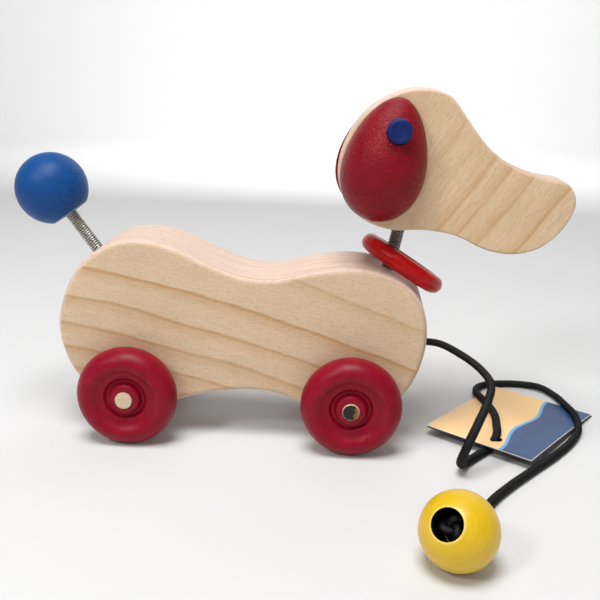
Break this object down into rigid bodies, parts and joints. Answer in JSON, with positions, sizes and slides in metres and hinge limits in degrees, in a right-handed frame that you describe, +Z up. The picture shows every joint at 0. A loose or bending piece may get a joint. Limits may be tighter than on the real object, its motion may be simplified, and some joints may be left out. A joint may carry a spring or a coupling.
{
  "type": "pull along toy",
  "caption": "Wooden pull-along dog with a rounded body on wheels, a head and ball tail on springs, swinging ears, a loose collar ring and a braided pull cord with a bead.",
  "frame": {"origin": "middle of the toy's footprint box, on the surface that the wheels stand on, without the cord and what is on it", "axes": "+X forward towards the snout, +Y to the dog's left, +Z up"},
  "size_m": [0.3494, 0.2292, 0.2001],
  "materials": {
    "body_wood": "satin, fine horizontal grain with tan growth bands",
    "head_wood": "satin, diagonal grain",
    "ear_red": "crimson stain, semi-gloss",
    "peg_blue": "deep blue stain, satin",
    "neck_steel": "dark spring steel",
    "tail_steel": "bright spring steel",
    "ball_blue": "royal blue stain, satin, grain showing",
    "collar_red": "bright red lacquer, glossy",
    "axle_wood": "plain dowel, end grain showing",
    "wheel_red": "crimson stain, satin",
    "cord_black": "black round braid",
    "bead_yellow": "golden yellow lacquer, semi-gloss",
    "tag_card": "printed card, plain peach and navy areas"
  },
  "bodies": {
    "chassis": {"body": "body_wood", "pull_cord": "cord_black", "pull_bead": "bead_yellow", "bead_knot": "cord_black", "swing_tag": "tag_card"},
    "front_wheelset": {"front_axle": "axle_wood", "front_right_wheel": "wheel_red", "front_left_wheel": "wheel_red"},
    "rear_wheelset": {"rear_axle": "axle_wood", "rear_right_wheel": "wheel_red", "rear_left_wheel": "wheel_red"},
    "neck": {"neck_spring": "neck_steel"},
    "head": {"head": "head_wood", "right_ear_peg": "peg_blue", "left_ear_peg": "peg_blue"},
    "right_ear": {"right_ear": "ear_red"},
    "left_ear": {"left_ear": "ear_red"},
    "tail": {"tail_spring": "tail_steel"},
    "tail_tip": {"tail_ball": "ball_blue"},
    "collar": {"collar_ring": "collar_red"}
  },
  "joints": [
    {"name": "front_wheels_spin", "type": "hinge", "parent": "chassis", "child": "front_wheelset", "pos_m": [0.041, 0, 0.0285], "axis": [0, 1, 0], "continuous": true},
    {"name": "rear_wheels_spin", "type": "hinge", "parent": "chassis", "child": "rear_wheelset", "pos_m": [-0.086, 0, 0.0285], "axis": [0, 1, 0], "continuous": true},
    {"name": "neck_sway", "type": "hinge", "parent": "chassis", "child": "neck", "pos_m": [0.0611, 0, 0.1131], "axis": [0.9816, 0, -0.1908], "range_deg": [-20, 20], "stiffness_Nm_per_rad": 0.6, "deforming": ["neck_spring"]},
    {"name": "neck_nod", "type": "hinge", "parent": "neck", "child": "head", "pos_m": [0.0611, 0, 0.1131], "axis": [0, 1, 0], "range_deg": [-12, 25], "stiffness_Nm_per_rad": 0.6, "springref_deg": -1.83, "deforming": ["neck_spring"]},
    {"name": "right_ear_swing", "type": "hinge", "parent": "head", "child": "right_ear", "pos_m": [0.059, 0, 0.18], "axis": [0, 1, 0], "continuous": true},
    {"name": "left_ear_swing", "type": "hinge", "parent": "head", "child": "left_ear", "pos_m": [0.059, 0, 0.18], "axis": [0, 1, 0], "continuous": true},
    {"name": "tail_wag", "type": "hinge", "parent": "chassis", "child": "tail", "pos_m": [-0.1168, 0, 0.115], "axis": [0.809, 0, 0.5878], "range_deg": [-30, 30], "stiffness_Nm_per_rad": 0.25, "deforming": ["tail_spring"]},
    {"name": "tail_bob", "type": "hinge", "parent": "tail", "child": "tail_tip", "pos_m": [-0.1168, 0, 0.115], "axis": [0, 1, 0], "range_deg": [-30, 30], "stiffness_Nm_per_rad": 0.25, "springref_deg": 0.8, "deforming": ["tail_spring"]},
    {"name": "collar_slide", "type": "slide", "parent": "chassis", "child": "collar", "axis": [0.1908, 0, 0.9816], "range_m": [0, 0.004]}
  ]
}
